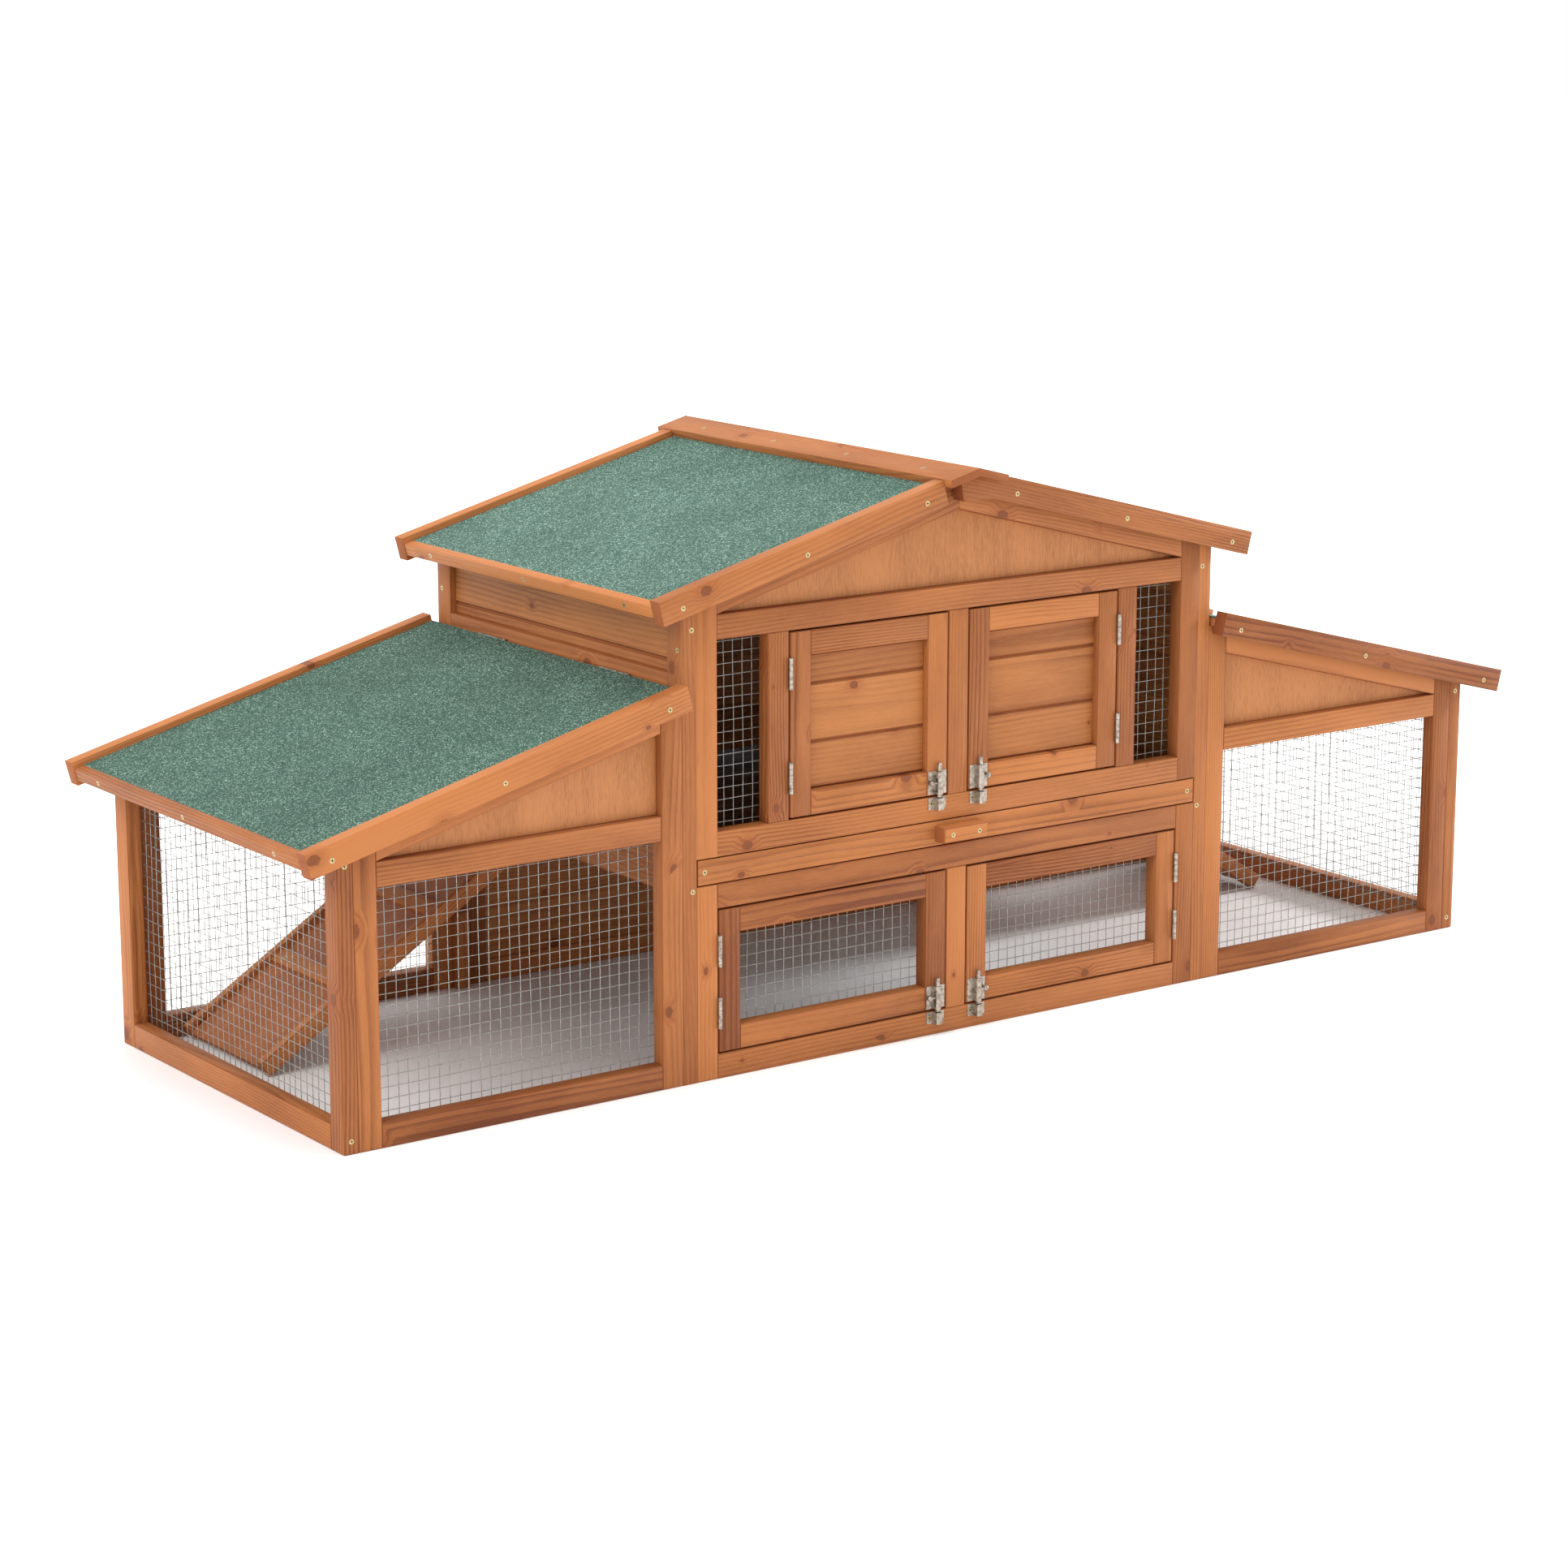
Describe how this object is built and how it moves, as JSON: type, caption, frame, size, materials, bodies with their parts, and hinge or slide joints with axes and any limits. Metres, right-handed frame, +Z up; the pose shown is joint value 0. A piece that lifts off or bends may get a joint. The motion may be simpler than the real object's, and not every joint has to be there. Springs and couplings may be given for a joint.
{
  "type": "rabbit hutch",
  "caption": "Wooden two-storey rabbit hutch with a pitched felt roof, covered side runs with lifting roofs, ramps, hinged front doors with tower bolts and a pull-out tray.",
  "frame": {"origin": "middle of the footprint on the ground", "axes": "+X to the right seen from the front, +Y to the back, +Z up"},
  "size_m": [1.718, 0.588, 0.6622],
  "materials": {
    "stick": "satin",
    "board": "satin",
    "plywood": "matt",
    "felt": "mineral grit",
    "mesh": "galvanised",
    "zinc": "satin",
    "screw": "zinc yellow",
    "sheet_metal": "galvanised"
  },
  "bodies": {
    "hutch": {"back_boards": "board", "back_frame": "stick", "bolt_keepers": "zinc", "fixed_hinge_leaves": "zinc", "gable_panels": "plywood", "hinge_pins": "zinc", "house_barge_boards": "stick", "house_eave_fascias": "stick", "house_roof_boards": "plywood", "house_roof_felt": "felt", "house_side_boards": "board", "house_side_frames": "stick", "hutch_screws": "screw", "left_run_frame": "stick", "left_run_mesh": "mesh", "lower_front_frame": "stick", "ramp_cleats": "stick", "ramp_decks": "plywood", "ramp_side_rails": "stick", "ridge_cap": "stick", "right_run_frame": "stick", "right_run_mesh": "mesh", "roof_hinge_battens": "stick", "tray_runners": "stick", "upper_front_frame": "stick", "upper_window_mesh": "mesh"},
    "left_run_roof": {"left_roof_board": "plywood", "left_roof_felt": "felt", "left_roof_hinge_leaves": "zinc", "left_roof_screws": "screw", "left_roof_trim": "stick"},
    "right_run_roof": {"right_roof_board": "plywood", "right_roof_felt": "felt", "right_roof_hinge_leaves": "zinc", "right_roof_screws": "screw", "right_roof_trim": "stick"},
    "upper_left_door": {"upper_left_door_boards": "board", "upper_left_door_bolt_plate": "zinc", "upper_left_door_frame": "stick", "upper_left_door_hinge_leaves": "zinc"},
    "upper_left_bolt_rod": {"upper_left_bolt": "zinc"},
    "upper_right_door": {"upper_right_door_boards": "board", "upper_right_door_bolt_plate": "zinc", "upper_right_door_frame": "stick", "upper_right_door_hinge_leaves": "zinc"},
    "upper_right_bolt_rod": {"upper_right_bolt": "zinc"},
    "lower_left_door": {"lower_left_door_bolt_plate": "zinc", "lower_left_door_frame": "stick", "lower_left_door_hinge_leaves": "zinc", "lower_left_door_mesh": "mesh"},
    "lower_left_bolt_rod": {"lower_left_bolt": "zinc"},
    "lower_right_door": {"lower_right_door_bolt_plate": "zinc", "lower_right_door_frame": "stick", "lower_right_door_hinge_leaves": "zinc", "lower_right_door_mesh": "mesh"},
    "lower_right_bolt_rod": {"lower_right_bolt": "zinc"},
    "tray": {"tray_front_rail": "stick", "tray_handle": "stick", "tray_pan": "sheet_metal", "tray_screws": "screw"}
  },
  "joints": [
    {"name": "left_roof_lift", "type": "hinge", "parent": "hutch", "child": "left_run_roof", "pos_m": [-0.3838, 0, 0.44706], "axis": [0, 1, 0], "range_deg": [0, 70]},
    {"name": "right_roof_lift", "type": "hinge", "parent": "hutch", "child": "right_run_roof", "pos_m": [0.3838, 0, 0.44706], "axis": [0, -1, 0], "range_deg": [0, 70]},
    {"name": "upper_left_door_swing", "type": "hinge", "parent": "hutch", "child": "upper_left_door", "pos_m": [-0.2373, -0.2605, 0.4], "axis": [0, 0, -1], "range_deg": [0, 150]},
    {"name": "upper_left_bolt_slide", "type": "slide", "parent": "upper_left_door", "child": "upper_left_bolt_rod", "axis": [0, 0, 1], "range_m": [-0.009, 0.004]},
    {"name": "upper_right_door_swing", "type": "hinge", "parent": "hutch", "child": "upper_right_door", "pos_m": [0.2373, -0.2605, 0.4], "axis": [0, 0, 1], "range_deg": [0, 150]},
    {"name": "upper_right_bolt_slide", "type": "slide", "parent": "upper_right_door", "child": "upper_right_bolt_rod", "axis": [0, 0, 1], "range_m": [-0.009, 0.004]},
    {"name": "lower_left_door_swing", "type": "hinge", "parent": "hutch", "child": "lower_left_door", "pos_m": [-0.3339, -0.2605, 0.11], "axis": [0, 0, -1], "range_deg": [0, 150]},
    {"name": "lower_left_bolt_slide", "type": "slide", "parent": "lower_left_door", "child": "lower_left_bolt_rod", "axis": [0, 0, 1], "range_m": [-0.009, 0.004]},
    {"name": "lower_right_door_swing", "type": "hinge", "parent": "hutch", "child": "lower_right_door", "pos_m": [0.3339, -0.2605, 0.11], "axis": [0, 0, 1], "range_deg": [0, 150]},
    {"name": "lower_right_bolt_slide", "type": "slide", "parent": "lower_right_door", "child": "lower_right_bolt_rod", "axis": [0, 0, 1], "range_m": [-0.009, 0.004]},
    {"name": "tray_slide", "type": "slide", "parent": "hutch", "child": "tray", "axis": [0, -1, 0], "range_m": [0, 0.4]}
  ]
}
